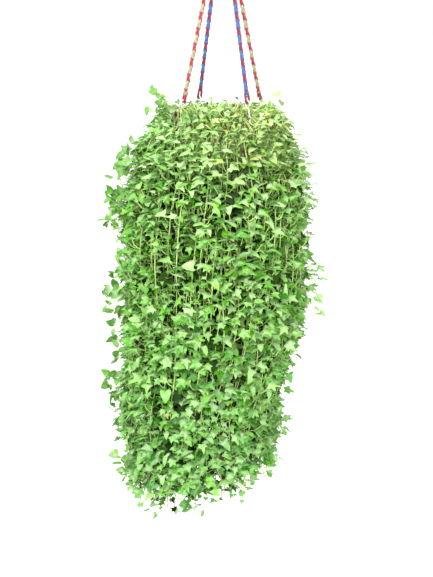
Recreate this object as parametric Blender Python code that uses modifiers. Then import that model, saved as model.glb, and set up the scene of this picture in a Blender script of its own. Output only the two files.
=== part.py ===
"""A hanging pot of trailing arrowhead-leaved vines, slung on four two-colour plaited ropes.

Metres, +Z up, front towards -Y. The origin is the point inside the steel ring where a ceiling
hook bears, so everything hangs below it. Each vine is one body, a stem with its leaves, and keeps
to its own wedge of the circle round the pot.
"""

import math
import random

import bmesh
import bpy
from mathutils import Matrix, Vector

GAP = 0.0003  # left between two solids that touch

# The ring that goes on a ceiling hook.
RING_MEAN_RADIUS = 0.020
RING_WIRE_RADIUS = 0.0025

# The ropes, and how they are gathered under the ring.
ROPE_RADIUS = 0.005
ROPE_AZIMUTHS = {"back_right": 32.0, "back_left": 122.0, "front_left": 212.0, "front_right": 302.0}
TOP_LOOP_RADIUS = 0.0045  # of the doubled cord that passes through the ring
TOP_LOOP_LEG = 0.022  # from the ring's wire down to the binding
BINDING_RADIUS = 0.017
BINDING_TURN = 0.0085  # one wrapped turn's width
BINDING_TURNS = 4
BINDING_ROUNDING = 0.3  # of a turn's edges, as a share of its width
ROPE_TOP_RADIUS = 0.0085  # from the axis to a rope's centre, where it leaves the binding

# The white wire hooks between the ropes and the pot's lip.
HOOK_WIRE_RADIUS = 0.0020
HOOK_EYE_RADIUS = 0.0078
HOOK_EYE_START = 60  # degrees round the eye from its lowest point to the wire's cut end
HOOK_LENGTH = 0.064  # from the eye's centre to the lip
HOOK_BEND_RADIUS = 0.0055
HOOK_POINT = 0.6  # how far the wire's end rises past the bend, as a share of the bend's radius
HOOK_DROP = 0.0028  # from the lip's underside to the wire's centre, at the bend's lowest point
STRAND_RADIUS = 0.0022  # of the strands that a rope ends in, looped through the eye
ROPE_TO_EYE = 0.012  # from the rope's end to the top of the eye

# The pot.
HANG_HEIGHT = 0.545  # from the hook point down to the pot's lip
LIP_RADIUS = 0.126
LIP_THICKNESS = 0.003
LIP_HOLE_INSET = 0.007  # from the lip's edge to the centre of a hook's hole
LIP_HOLE_RADIUS = 0.0035
POT_MOUTH_RADIUS = 0.113  # outside of the wall, under the lip
POT_FOOT_RADIUS = 0.082
POT_HEIGHT = 0.175
POT_WALL = 0.0025
FOOT_WIDTH = 0.006
FOOT_HEIGHT = 0.004
DRAIN_RADIUS = 0.0045
DRAIN_CIRCLE = 0.050
DRAIN_COUNT = 6

# The soil.
SOIL_BELOW_LIP = 0.025
SOIL_CROWN = 0.008
SOIL_SHOULDER = 0.6  # where the soil's slope changes, as a share of the pot's mouth and of the crown

# The curtain of vines. Its middle is left of the pot's, more so lower down.
VINE_COUNT = 24
ROOT_RADIUS = 0.070  # of the circle on which the vines leave the soil
ARCH_RISE = 0.062  # how far the stems rise above the lip before they fall
# A stem's way over the lip: (0 at its root, 1 at the lip's edge and 2 where it hangs; share of the rise).
ARCH_SHAPE = ((0.2, 0.25), (0.65, 0.92), (1.3, 0.85), (2.0, 0.15))
CURTAIN_OUT = 0.052  # from the lip's edge out to the outer stems
CURTAIN_STAGGER = 0.014  # every other vine hangs this much nearer the pot
CURTAIN_TAPER = 0.024  # how far the lowest ends draw in
SHIFT_TOP = 0.018
SHIFT_BOTTOM = 0.048
TRAIL_LONGEST = 0.920  # from the lip down to the lowest tip
TRAIL_SHORTEST = 0.785
LONGEST_AZIMUTH = 212.0

# Stems and leaves.
STEM_RADIUS = 0.0019
TIP_STEM_RADIUS = 0.0011
FIRST_LEAF_DEPTH = 0.030  # below the lip
LEAF_SPACING = 0.105
SPACING_SPREAD = 0.08  # as a share of the spacing, either way
LEAF_LENGTH = 0.038
LEAF_HALF_WIDTH = 0.018
LEAF_HALF_THICKNESS = 0.0008
LEAF_POINT_HALF_WIDTH = 0.0014
PETIOLE_LENGTH = 0.016
PETIOLE_RADIUS = 0.0009
PETIOLE_AIM = (0.93, 0.30)  # outwards and up
BLADE_AIM = (0.86, -0.46)
SHOULDERS = 0.18  # the share of a blade's length where it is widest
WEDGE_MARGIN = 0.0052  # kept free on each side of a vine's wedge

# Side shoots that stand out of the curtain: (azimuth in degrees, depth below the lip, reach).
SIDE_SHOOTS = (
    (174.5, 0.085, 0.285),
    (189.5, 0.190, 0.292),
    (174.5, 0.430, 0.275),
    (189.5, 0.600, 0.275),
    (174.5, 0.720, 0.255),
    (9.5, 0.140, 0.216),
    (354.5, 0.370, 0.240),
    (9.5, 0.480, 0.210),
)

# The short shoots that fill the middle of the pot.
SHOOT_COUNT = 6
SHOOT_ROOT_RADIUS = 0.020
SHOOT_TIP_RADIUS = 0.052
SHOOT_RISE = 0.072
SHOOT_PETIOLE = 0.006
SHOOT_LEAF_LENGTH = 0.026
SHOOT_LEAF_HALF_WIDTH = 0.011
# A short shoot's way up: (share of the way out, share of the rise).
SHOOT_SHAPE = ((0.1, 0.0), (0.4, 0.8), (1.0, 1.0))

LIP_Z = -HANG_HEIGHT
POT_BASE_Z = LIP_Z - POT_HEIGHT
SOIL_EDGE_Z = LIP_Z - SOIL_BELOW_LIP
RING_CENTRE_Z = RING_WIRE_RADIUS - RING_MEAN_RADIUS
BINDING_TOP_Z = RING_CENTRE_Z - RING_MEAN_RADIUS - TOP_LOOP_LEG
BINDING_BOTTOM_Z = BINDING_TOP_Z - BINDING_TURNS * BINDING_TURN
HOOK_HOLE_RADIUS = LIP_RADIUS - LIP_HOLE_INSET
HALF_WEDGE = math.pi / VINE_COUNT
TURNED_STEPS = 48
BINDING_STEPS = 20
BEND_STEPS = 8  # in a half turn of a wire or cord
EYE_STEPS = 11
UP = Vector((0, 0, 1))


def clear_scene():
    for obj in list(bpy.data.objects):
        bpy.data.objects.remove(obj)


def collection(name):
    made = bpy.data.collections.new(name)
    bpy.context.scene.collection.children.link(made)
    return made


def material(name, colour, roughness, metallic=0.0):
    made = bpy.data.materials.new(name)
    made.use_nodes = True
    shader = made.node_tree.nodes["Principled BSDF"]
    shader.inputs["Base Color"].default_value = (*colour, 1.0)
    shader.inputs["Roughness"].default_value = roughness
    shader.inputs["Metallic"].default_value = metallic
    return made


def add(name, data, finish, group):
    """A named object of this data, with its material, in the group."""
    obj = bpy.data.objects.new(name, data)
    data.materials.append(finish)
    group.objects.link(obj)
    return obj


def radial(azimuth):
    """(outward, sideways) unit vectors at this azimuth in degrees, +X at 0 and +Y at 90."""
    a = math.radians(azimuth)
    return Vector((math.cos(a), math.sin(a), 0)), Vector((-math.sin(a), math.cos(a), 0))


def tube(name, points, radius, finish, group, resolution=2):
    """A round wire or cord through these points, with closed ends."""
    curve = bpy.data.curves.new(name, "CURVE")
    curve.dimensions = "3D"
    spline = curve.splines.new("POLY")
    spline.points.add(len(points) - 1)
    for point, place in zip(spline.points, points):
        point.co = (*place, 1.0)
    curve.bevel_depth = radius
    curve.bevel_resolution = resolution
    curve.use_fill_caps = True
    return add(name, curve, finish, group)


def turned(name, profile, finish, group, steps=TURNED_STEPS):
    """A shape turned about Z from a closed profile of (radius, z), whose edges on the axis are left out."""
    mesh = bpy.data.meshes.new(name)
    edges = [(i, (i + 1) % len(profile)) for i in range(len(profile))]
    edges = [(i, j) for i, j in edges if profile[i][0] > 0 or profile[j][0] > 0]
    mesh.from_pydata([(r, 0, z) for r, z in profile], edges, [])
    obj = add(name, mesh, finish, group)
    screw = obj.modifiers.new("turn", "SCREW")
    screw.axis = "Z"
    screw.steps = steps
    screw.render_steps = steps
    screw.use_merge_vertices = True
    screw.merge_threshold = 0.0001
    screw.use_smooth_shade = True
    return obj


def as_mesh(obj):
    """The curve object's own shape as a mesh object of the same name, in the same place."""
    name, finish, group = obj.name, obj.data.materials[0], obj.users_collection[0]
    graph = bpy.context.evaluated_depsgraph_get()
    mesh = bpy.data.meshes.new_from_object(obj.evaluated_get(graph))
    bm = bmesh.new()
    bm.from_mesh(mesh)
    bmesh.ops.remove_doubles(bm, verts=bm.verts, dist=0.000001)
    bm.to_mesh(mesh)
    bm.free()
    matrix = obj.matrix_world.copy()
    bpy.data.objects.remove(obj)
    made = bpy.data.objects.new(name, mesh)
    made.matrix_world = matrix
    if not mesh.materials:
        mesh.materials.append(finish)
    group.objects.link(made)
    return made


def combine(obj, other, operation, cutters):
    """Joins or cuts obj with other, which stays in the file as a hidden helper."""
    boolean = obj.modifiers.new(other.name, "BOOLEAN")
    boolean.operation = operation
    boolean.object = other
    other.hide_render = True
    other.display_type = "WIRE"
    if other.name not in cutters.objects:
        for home in other.users_collection:
            home.objects.unlink(other)
        cutters.objects.link(other)


# ---------------------------------------------------------------- ring, binding and ropes


def hanging_ring(finish, group):
    bpy.ops.mesh.primitive_torus_add(
        major_radius=RING_MEAN_RADIUS,
        minor_radius=RING_WIRE_RADIUS,
        major_segments=32,
        minor_segments=8,
        location=(0, 0, RING_CENTRE_Z),
        rotation=(math.pi / 2, 0, 0),
    )
    ring = bpy.context.object
    ring.name = "hanging_ring"
    ring.data.name = "hanging_ring"
    ring.data.materials.append(finish)
    ring.data.shade_smooth()
    for home in ring.users_collection:
        home.objects.unlink(ring)
    group.objects.link(ring)


def top_loop(finish, group):
    """The cord that passes through the ring, with both its legs going down to the binding."""
    bend = RING_WIRE_RADIUS + GAP + TOP_LOOP_RADIUS
    wire_z = RING_CENTRE_Z - RING_MEAN_RADIUS
    points = [Vector((0, bend, BINDING_TOP_Z + GAP))]
    for i in range(BEND_STEPS + 1):
        a = math.pi * i / BEND_STEPS
        points.append(Vector((0, bend * math.cos(a), wire_z + bend * math.sin(a))))
    points.append(Vector((0, -bend, BINDING_TOP_Z + GAP)))
    tube("top_loop", points, TOP_LOOP_RADIUS, finish, group)


def binding(finish, group):
    """The cord wrapped round the gathered ropes, one rounded turn under another."""
    rounding = BINDING_ROUNDING * BINDING_TURN
    profile = [(0, BINDING_TOP_Z), (BINDING_RADIUS - rounding, BINDING_TOP_Z)]
    for turn in range(BINDING_TURNS):
        z = BINDING_TOP_Z - turn * BINDING_TURN
        profile.append((BINDING_RADIUS, z - rounding))
        profile.append((BINDING_RADIUS, z - BINDING_TURN + rounding))
        profile.append((BINDING_RADIUS - rounding, z - BINDING_TURN))
    profile.append((0, BINDING_BOTTOM_Z))
    turned("rope_binding", profile, finish, group, BINDING_STEPS)


def rope_line(azimuth):
    """A rope's line, from the binding to the lip's hole: (start, direction, outward, sideways, length)."""
    out, side = radial(azimuth)
    slope = (HOOK_HOLE_RADIUS - ROPE_TOP_RADIUS) / (BINDING_BOTTOM_Z - LIP_Z)
    start_z = BINDING_BOTTOM_Z - GAP - ROPE_RADIUS * slope
    start = out * ROPE_TOP_RADIUS + UP * start_z
    end = out * HOOK_HOLE_RADIUS + UP * LIP_Z
    along = end - start
    return start, along.normalized(), out, side, along.length


def rope(place, finish, group, cutters):
    """A plaited rope with its last strands looped through the eye of its hook."""
    start, down, _, side, length = rope_line(ROPE_AZIMUTHS[place])
    eye_top = length - HOOK_LENGTH - HOOK_EYE_RADIUS
    body_end = eye_top - ROPE_TO_EYE
    body = as_mesh(tube(f"rope_{place}", [start, start + down * body_end], ROPE_RADIUS, finish, group, 3))
    half = HOOK_WIRE_RADIUS + STRAND_RADIUS + 2 * GAP
    root = start + down * (body_end - ROPE_RADIUS)
    points = [root + side * (half / 2)]
    for i in range(BEND_STEPS + 1):
        a = math.pi * i / BEND_STEPS
        points.append(start + down * (eye_top + half * math.sin(a)) + side * half * math.cos(a))
    points.append(root - side * (half / 2))
    strands = as_mesh(tube(f"strands_{place}", points, STRAND_RADIUS, finish, group, 1))
    combine(body, strands, "UNION", cutters)


def wire_hook(place, finish, group):
    """A white wire hook: an eye, a straight shank, and a bend through the lip and under its edge."""
    start, down, out, _, length = rope_line(ROPE_AZIMUTHS[place])
    eye = start + down * (length - HOOK_LENGTH)
    across = (out - down * out.dot(down)).normalized()
    points = []
    sweep = 330 - HOOK_EYE_START
    for i in range(EYE_STEPS + 1):
        a = math.radians(HOOK_EYE_START + sweep * i / EYE_STEPS)
        points.append(eye + (down * math.cos(a) + across * math.sin(a)) * HOOK_EYE_RADIUS)
    points.append(eye + down * 1.5 * HOOK_EYE_RADIUS)
    bend_z = LIP_Z - LIP_THICKNESS - HOOK_DROP + HOOK_BEND_RADIUS
    centre = out * (HOOK_HOLE_RADIUS + HOOK_BEND_RADIUS) + UP * bend_z
    for i in range(BEND_STEPS + 1):
        a = math.pi * i / BEND_STEPS
        points.append(centre - (out * math.cos(a) + UP * math.sin(a)) * HOOK_BEND_RADIUS)
    points.append(centre + (out + UP * HOOK_POINT) * HOOK_BEND_RADIUS)
    tube(f"wire_hook_{place}", points, HOOK_WIRE_RADIUS, finish, group, 1)


# ---------------------------------------------------------------- pot and soil


def wall_radius(depth):
    """The outside radius of the pot's wall at this depth below the lip."""
    share = (depth - LIP_THICKNESS) / (POT_HEIGHT - LIP_THICKNESS)
    return POT_MOUTH_RADIUS + (POT_FOOT_RADIUS - POT_MOUTH_RADIUS) * share


def drill(name, radius, places, depth_range, finish, cutters):
    """One cutter of upright cylinders at these (x, y) places, from the lower to the upper z."""
    low, high = depth_range
    bm = bmesh.new()
    for x, y in places:
        bmesh.ops.create_cone(
            bm,
            cap_ends=True,
            segments=12,
            radius1=radius,
            radius2=radius,
            depth=high - low,
            matrix=Matrix.Translation((x, y, (low + high) / 2)),
        )
    mesh = bpy.data.meshes.new(name)
    bm.to_mesh(mesh)
    bm.free()
    return add(name, mesh, finish, cutters)


def on_circle(radius, azimuths):
    return [tuple(radial(a)[0].xy * radius) for a in azimuths]


def pot(finish, group, cutters):
    floor_z = POT_BASE_Z + FOOT_HEIGHT
    profile = [
        (LIP_RADIUS, LIP_Z),
        (LIP_RADIUS, LIP_Z - LIP_THICKNESS),
        (POT_MOUTH_RADIUS, LIP_Z - LIP_THICKNESS),
        (wall_radius(POT_HEIGHT / 2), LIP_Z - POT_HEIGHT / 2),
        (POT_FOOT_RADIUS, POT_BASE_Z),
        (POT_FOOT_RADIUS - FOOT_WIDTH, POT_BASE_Z),
        (POT_FOOT_RADIUS - FOOT_WIDTH, floor_z),
        (0, floor_z),
        (0, floor_z + POT_WALL),
        (wall_radius(POT_HEIGHT - FOOT_HEIGHT - POT_WALL) - POT_WALL, floor_z + POT_WALL),
        (POT_MOUTH_RADIUS - POT_WALL, LIP_Z),
    ]
    obj = turned("pot", profile, finish, group)
    holes = on_circle(HOOK_HOLE_RADIUS, ROPE_AZIMUTHS.values())
    lip_range = (LIP_Z - 2 * LIP_THICKNESS, LIP_Z + LIP_THICKNESS)
    lip_holes = drill("lip_holes", LIP_HOLE_RADIUS, holes, lip_range, finish, cutters)
    combine(obj, lip_holes, "DIFFERENCE", cutters)
    drains = on_circle(DRAIN_CIRCLE, [360 * i / DRAIN_COUNT for i in range(DRAIN_COUNT)])
    base_range = (POT_BASE_Z, floor_z + 2 * POT_WALL)
    drain_holes = drill("drains", DRAIN_RADIUS, drains, base_range, finish, cutters)
    combine(obj, drain_holes, "DIFFERENCE", cutters)


def soil(finish, group):
    bottom_z = POT_BASE_Z + FOOT_HEIGHT + POT_WALL + GAP
    inside = POT_WALL + 2 * GAP
    profile = [
        (0, SOIL_EDGE_Z + SOIL_CROWN),
        (SOIL_SHOULDER * POT_MOUTH_RADIUS, SOIL_EDGE_Z + SOIL_SHOULDER * SOIL_CROWN),
        (wall_radius(SOIL_BELOW_LIP) - inside, SOIL_EDGE_Z),
        (wall_radius(LIP_Z - bottom_z) - inside, bottom_z),
        (0, bottom_z),
    ]
    turned("soil", profile, finish, group)


def soil_z(radius):
    """The height of the soil's top at this distance from the axis."""
    inner = SOIL_SHOULDER * POT_MOUTH_RADIUS
    share = min(radius, inner) / inner
    return SOIL_EDGE_Z + SOIL_CROWN * (1 - (1 - SOIL_SHOULDER) * share)


# ---------------------------------------------------------------- vines


def grow(bm, face, signs, centre, first, second):
    """Extrudes a face of four corners, and puts them round the centre by the half axes first and second.

    signs says on which side of each half axis each corner lies.
    """
    new = bmesh.ops.extrude_discrete_faces(bm, faces=[face])["faces"][0]
    for vert, (a, b) in zip(new.verts, signs):
        vert.co = centre + first * a + second * b
    return new


def corner_signs(face, first, second):
    """On which side of the face's centre each of its corners lies, along first and along second."""
    centre = face.calc_center_median()
    offsets = [vert.co - centre for vert in face.verts]
    return [(math.copysign(1, o.dot(first)), math.copysign(1, o.dot(second))) for o in offsets]


def smooth_path(points, per_stretch):
    """A Catmull-Rom line through these points."""
    ends = [points[0] * 2 - points[1], *points, points[-1] * 2 - points[-2]]
    line = []
    for p0, p1, p2, p3 in zip(ends, ends[1:], ends[2:], ends[3:]):
        for i in range(per_stretch):
            t = i / per_stretch
            bend = 2 * p0 - 5 * p1 + 4 * p2 - p3
            twist = 3 * p1 - p0 - 3 * p2 + p3
            line.append(0.5 * (2 * p1 + (p2 - p0) * t + bend * t**2 + twist * t**3))
    return [*line, points[-1]]


def leaf(bm, face, frame, shape):
    """A leaf grown out of a stem's outer face: a petiole, the blade's shoulders, and its point."""
    out, side, axis = frame
    lean, petiole, length, half_width = shape
    signs = corner_signs(face, axis, side)
    stalk = (out * PETIOLE_AIM[0] + UP * PETIOLE_AIM[1] + side * lean).normalized()
    blade = (out * BLADE_AIM[0] + UP * BLADE_AIM[1] + side * lean).normalized()
    across = UP.cross(blade).normalized()
    if across.dot(side) < 0:
        across.negate()
    thick = across.cross(blade).normalized()
    if thick.dot(axis) < 0:
        thick.negate()
    join = face.calc_center_median() + stalk * petiole
    face = grow(bm, face, signs, join, thick * PETIOLE_RADIUS, across * PETIOLE_RADIUS)
    shoulders = join + blade * length * SHOULDERS
    face = grow(bm, face, signs, shoulders, thick * LEAF_HALF_THICKNESS, across * half_width)
    point = join + blade * length
    grow(bm, face, signs, point, thick * LEAF_HALF_THICKNESS, across * LEAF_POINT_HALF_WIDTH)


def strand(name, path, leaves, finish, group, tip_leaf=None):
    """A stem along path, a list of (centre, half thickness), with leaves, {index of path: leaf's shape}."""
    places = [centre for centre, _ in path]
    out, side = radial(math.degrees(math.atan2(places[-1].y, places[-1].x)))
    signs = [(1, 1), (1, -1), (-1, -1), (-1, 1)]

    def section(i):
        """The half axes of the stem's section here: towards the outer side of its bend, and sideways."""
        ahead = (places[min(i + 1, len(places) - 1)] - places[max(i - 1, 0)]).normalized()
        return ahead.cross(side).normalized() * path[i][1], side * path[i][1]

    bm = bmesh.new()
    first, second = section(0)
    tip = bm.faces.new([bm.verts.new(places[0] + first * a + second * b) for a, b in signs])
    bmesh.ops.reverse_faces(bm, faces=[tip])
    signs = corner_signs(tip, first, second)
    for i in range(1, len(path)):
        first, second = section(i)
        tip = grow(bm, tip, signs, places[i], first, second)
        if i in leaves:
            walls = {face for edge in tip.edges for face in edge.link_faces if face is not tip}
            outer = max(walls, key=lambda face: face.calc_center_median().dot(first))
            axis = (places[i] - places[i - 1]).normalized()
            leaf(bm, outer, (out, side, axis), leaves[i])
    if tip_leaf:
        leaf(bm, tip, (out, side, first), tip_leaf)
    bmesh.ops.holes_fill(bm, edges=[edge for edge in bm.edges if edge.is_boundary])
    bmesh.ops.recalc_face_normals(bm, faces=bm.faces)
    mesh = bpy.data.meshes.new(name)
    bm.to_mesh(mesh)
    bm.free()
    add(name, mesh, finish, group)


def trail(azimuth):
    """How far below the lip the vine at this azimuth ends."""
    share = 0.5 + 0.5 * math.cos(math.radians(azimuth - LONGEST_AZIMUTH))
    return TRAIL_SHORTEST + (TRAIL_LONGEST - TRAIL_SHORTEST) * share


def hang_radius(number, azimuth, share):
    """How far from the axis a vine's stem hangs, at this share of its way down."""
    shift = SHIFT_TOP + (SHIFT_BOTTOM - SHIFT_TOP) * share
    stagger = CURTAIN_STAGGER * (number % 2)
    taper = CURTAIN_TAPER * share**2
    return LIP_RADIUS + CURTAIN_OUT - stagger - taper - shift * math.cos(math.radians(azimuth))


def side_reach(azimuth, depth):
    """The reach of the side shoot that leaves this vine about this depth, or None."""
    for shoot_azimuth, shoot_depth, reach in SIDE_SHOOTS:
        turn = (shoot_azimuth - azimuth + 180) % 360 - 180
        if abs(turn) < math.degrees(HALF_WEDGE) and abs(shoot_depth - depth) < LEAF_SPACING / 2:
            return reach
    return None


def leaf_shape(hang, reach, turn, chance):
    """(sideways lean, petiole, length, half width) of a leaf that stays inside its vine's wedge."""
    lean = turn * chance.uniform(0.05, 0.14)
    length = LEAF_LENGTH * chance.uniform(0.9, 1.05)
    petiole = PETIOLE_LENGTH * chance.uniform(0.8, 1.15)
    half_width = LEAF_HALF_WIDTH * chance.uniform(0.85, 1.0)
    if reach:
        lean = 0.0
        petiole = max(petiole, (reach - hang) - BLADE_AIM[0] * length)
    wedge = (hang + petiole) * math.tan(HALF_WEDGE) - WEDGE_MARGIN
    room = wedge - (petiole + SHOULDERS * length) * abs(lean)
    return lean, petiole, length, max(min(half_width, room), 2 * LEAF_POINT_HALF_WIDTH)


def vine(number, finish, group, chance):
    """One trailing vine: out of the soil, over the lip, and straight down, with leaves facing outwards."""
    azimuth = ROPE_AZIMUTHS["back_right"] + 360 * (number + 0.5) / VINE_COUNT
    out, side = radial(azimuth)
    to_lip, past_lip = LIP_RADIUS - ROOT_RADIUS, hang_radius(number, azimuth, 0) - LIP_RADIUS
    arch = [out * ROOT_RADIUS + UP * (soil_z(ROOT_RADIUS) + GAP)]
    for way, rise in ARCH_SHAPE:
        radius = ROOT_RADIUS + to_lip * min(way, 1) + past_lip * max(way - 1, 0)
        arch.append(out * radius + UP * (LIP_Z + rise * ARCH_RISE))
    path = [(place, STEM_RADIUS) for place in smooth_path(arch, 2)]
    leaves = {len(path) - 2: leaf_shape(LIP_RADIUS, None, 1, chance)}
    end = trail(azimuth) * chance.uniform(0.97, 1.0)
    depths = [FIRST_LEAF_DEPTH]
    while depths[-1] + (1 + 2 * SPACING_SPREAD) * LEAF_SPACING < end:
        depths.append(depths[-1] + LEAF_SPACING * (1 + SPACING_SPREAD * chance.uniform(-1, 1)))
    sway = chance.uniform(-1, 1) * STEM_RADIUS
    for count, depth in enumerate(depths):
        share = depth / end
        half = STEM_RADIUS + (TIP_STEM_RADIUS - STEM_RADIUS) * share
        hang = hang_radius(number, azimuth, share)
        place = out * hang + side * (sway * math.sin(9 * depth)) + UP * (LIP_Z - depth)
        path += [(place + UP * half, half), (place - UP * half, half)]
        turn = 1 if count % 2 else -1
        leaves[len(path) - 1] = leaf_shape(hang, side_reach(azimuth, depth), turn, chance)
    path.append((out * hang_radius(number, azimuth, 1) + UP * (LIP_Z - end), TIP_STEM_RADIUS))
    strand(f"vine_{number + 1:02d}", path, leaves, finish, group)


def crown_shoot(number, finish, group, chance):
    """A short shoot in the middle of the pot, with its leaf above the vines' arches."""
    out, _ = radial(360 * (number + 0.5) / SHOOT_COUNT)
    spread = SHOOT_TIP_RADIUS - SHOOT_ROOT_RADIUS
    points = [out * SHOOT_ROOT_RADIUS + UP * (soil_z(SHOOT_ROOT_RADIUS) + GAP)]
    for way, rise in SHOOT_SHAPE:
        points.append(out * (SHOOT_ROOT_RADIUS + way * spread) + UP * (LIP_Z + rise * SHOOT_RISE))
    path = [(place, TIP_STEM_RADIUS) for place in smooth_path(points, 2)]
    shape = (chance.uniform(-0.1, 0.1), SHOOT_PETIOLE, SHOOT_LEAF_LENGTH, SHOOT_LEAF_HALF_WIDTH)
    strand(f"crown_shoot_{number + 1}", path, {}, finish, group, shape)


def main():
    clear_scene()
    group = collection("hanging_arrowhead_plant")
    cutters = collection("cutters")
    chance = random.Random(11)

    steel = material("galvanised_steel", (0.62, 0.63, 0.64), 0.35, 1.0)
    white_wire = material("white_wire", (0.85, 0.85, 0.84), 0.35)
    red_olive = material("red_olive_cord", (0.50, 0.12, 0.10), 0.7)
    red_blue = material("red_blue_cord", (0.30, 0.12, 0.35), 0.7)
    red = material("red_cord", (0.55, 0.04, 0.07), 0.7)
    plastic = material("white_plastic", (0.80, 0.80, 0.78), 0.4)
    earth = material("potting_soil", (0.06, 0.04, 0.025), 0.95)
    green = material("vine_leaves", (0.20, 0.45, 0.08), 0.45)

    hanging_ring(steel, group)
    top_loop(red_blue, group)
    binding(red, group)
    for place in ROPE_AZIMUTHS:
        two_colours = red_olive if place in ("front_left", "back_right") else red_blue
        rope(place, two_colours, group, cutters)
        wire_hook(place, white_wire, group)
    pot(plastic, group, cutters)
    soil(earth, group)
    for number in range(VINE_COUNT):
        vine(number, green, group, chance)
    for number in range(SHOOT_COUNT):
        crown_shoot(number, green, group, chance)


main()
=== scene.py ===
"""The looks of a hanging pot of trailing arrowhead-leaved vines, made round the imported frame.

Metres, +Z up, front towards -Y; the origin is where the steel ring bears on a ceiling hook. Each of
the frame's vines is replaced by a bundle of strands with stems, petioles and lobed leaves, each rope
by a plait of four twisted yarns, and the small fittings by finely rounded ones.
"""

import math
from collections import namedtuple

import bmesh
import bpy
import numpy as np
from mathutils import Matrix, Vector


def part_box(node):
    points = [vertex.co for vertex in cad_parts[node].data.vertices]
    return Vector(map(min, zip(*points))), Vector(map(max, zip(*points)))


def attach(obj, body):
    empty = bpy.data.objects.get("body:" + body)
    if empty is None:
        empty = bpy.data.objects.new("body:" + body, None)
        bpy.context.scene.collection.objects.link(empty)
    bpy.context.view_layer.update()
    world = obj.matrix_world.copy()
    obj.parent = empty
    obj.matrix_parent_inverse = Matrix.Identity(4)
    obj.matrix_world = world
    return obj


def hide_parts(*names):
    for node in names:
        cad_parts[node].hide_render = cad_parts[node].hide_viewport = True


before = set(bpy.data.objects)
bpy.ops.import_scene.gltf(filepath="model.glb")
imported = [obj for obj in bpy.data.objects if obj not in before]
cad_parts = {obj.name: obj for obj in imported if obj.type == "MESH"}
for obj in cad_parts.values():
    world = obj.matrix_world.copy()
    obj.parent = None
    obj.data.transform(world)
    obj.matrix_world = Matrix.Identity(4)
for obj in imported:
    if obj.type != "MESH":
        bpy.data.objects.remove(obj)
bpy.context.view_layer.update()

RIGHT, BACK, UP = np.eye(3)

# Sizes that repeat the frame's own.
HANG_HEIGHT = 0.545
LIP_Z = -HANG_HEIGHT
LIP_RADIUS = 0.126
LIP_THICKNESS = 0.003
HOOK_HOLE_RADIUS = 0.119
HOOK_LENGTH = 0.064
HOOK_EYE_RADIUS = 0.0078
HOOK_BEND_RADIUS = 0.0055
HOOK_DROP = 0.0028
ROPE_TOP_RADIUS = 0.0085
ROPE_TO_EYE = 0.012
ROPE_DIAMETER = 0.010
ROPE_PLACES = {"back_right": 32.0, "back_left": 122.0, "front_left": 212.0, "front_right": 302.0}
VINE_COUNT = 24
VINE_STEP = 360 / VINE_COUNT
FIRST_VINE_AZIMUTH = ROPE_PLACES["back_right"] + VINE_STEP / 2
BINDING_TOP = float(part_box("rope_binding")[1][2])
BINDING_BOTTOM = float(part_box("rope_binding")[0][2])
BINDING_RADIUS = float(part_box("rope_binding")[1][0])
RING_CENTRE_Z = float(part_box("hanging_ring")[0][2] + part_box("hanging_ring")[1][2]) / 2
RING_WIRE_RADIUS = float(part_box("hanging_ring")[1][1])
RING_MEAN_RADIUS = float(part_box("hanging_ring")[1][0]) - RING_WIRE_RADIUS
POT_BASE_Z = float(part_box("pot")[0][2])
SOIL_TOP_Z = float(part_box("soil")[1][2])
SOIL_RADIUS = float(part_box("soil")[1][0])


def linear(red, green, blue):
    """A colour of display values from 0 to 255, as linear light."""
    shown = np.array([red, green, blue]) / 255
    return np.where(shown <= 0.04045, shown / 12.92, ((shown + 0.055) / 1.055) ** 2.4)


def unit(vectors):
    """These vectors, one a row, at length 1."""
    return vectors / np.linalg.norm(vectors, axis=-1, keepdims=True)


def outwards(azimuth):
    """The unit vector away from the axis at this azimuth in degrees, +X at 0 and +Y at 90."""
    a = math.radians(azimuth)
    return np.array([math.cos(a), math.sin(a), 0.0])


def around(angle, first, second):
    """Unit steps at these angles, from the first direction at 0 towards the second."""
    angle = np.asarray(angle)[..., None]
    return np.cos(angle) * first + np.sin(angle) * second


def add_object(name, data):
    made = bpy.data.objects.new(name, data)
    bpy.context.scene.collection.objects.link(made)
    return made


# ---- camera


def make_camera():
    """A little above the crown and looking down the curtain, at a person's distance."""
    data = bpy.data.cameras.new("camera")
    data.sensor_fit = "VERTICAL"
    data.sensor_height = 36
    data.lens = 64.9
    camera = add_object("camera", data)
    camera.location = (-0.014, -2.4, -0.33)
    camera.rotation_euler = (math.radians(90 - 13.8), 0, 0)
    bpy.context.scene.camera = camera


# ---- node materials


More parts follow.
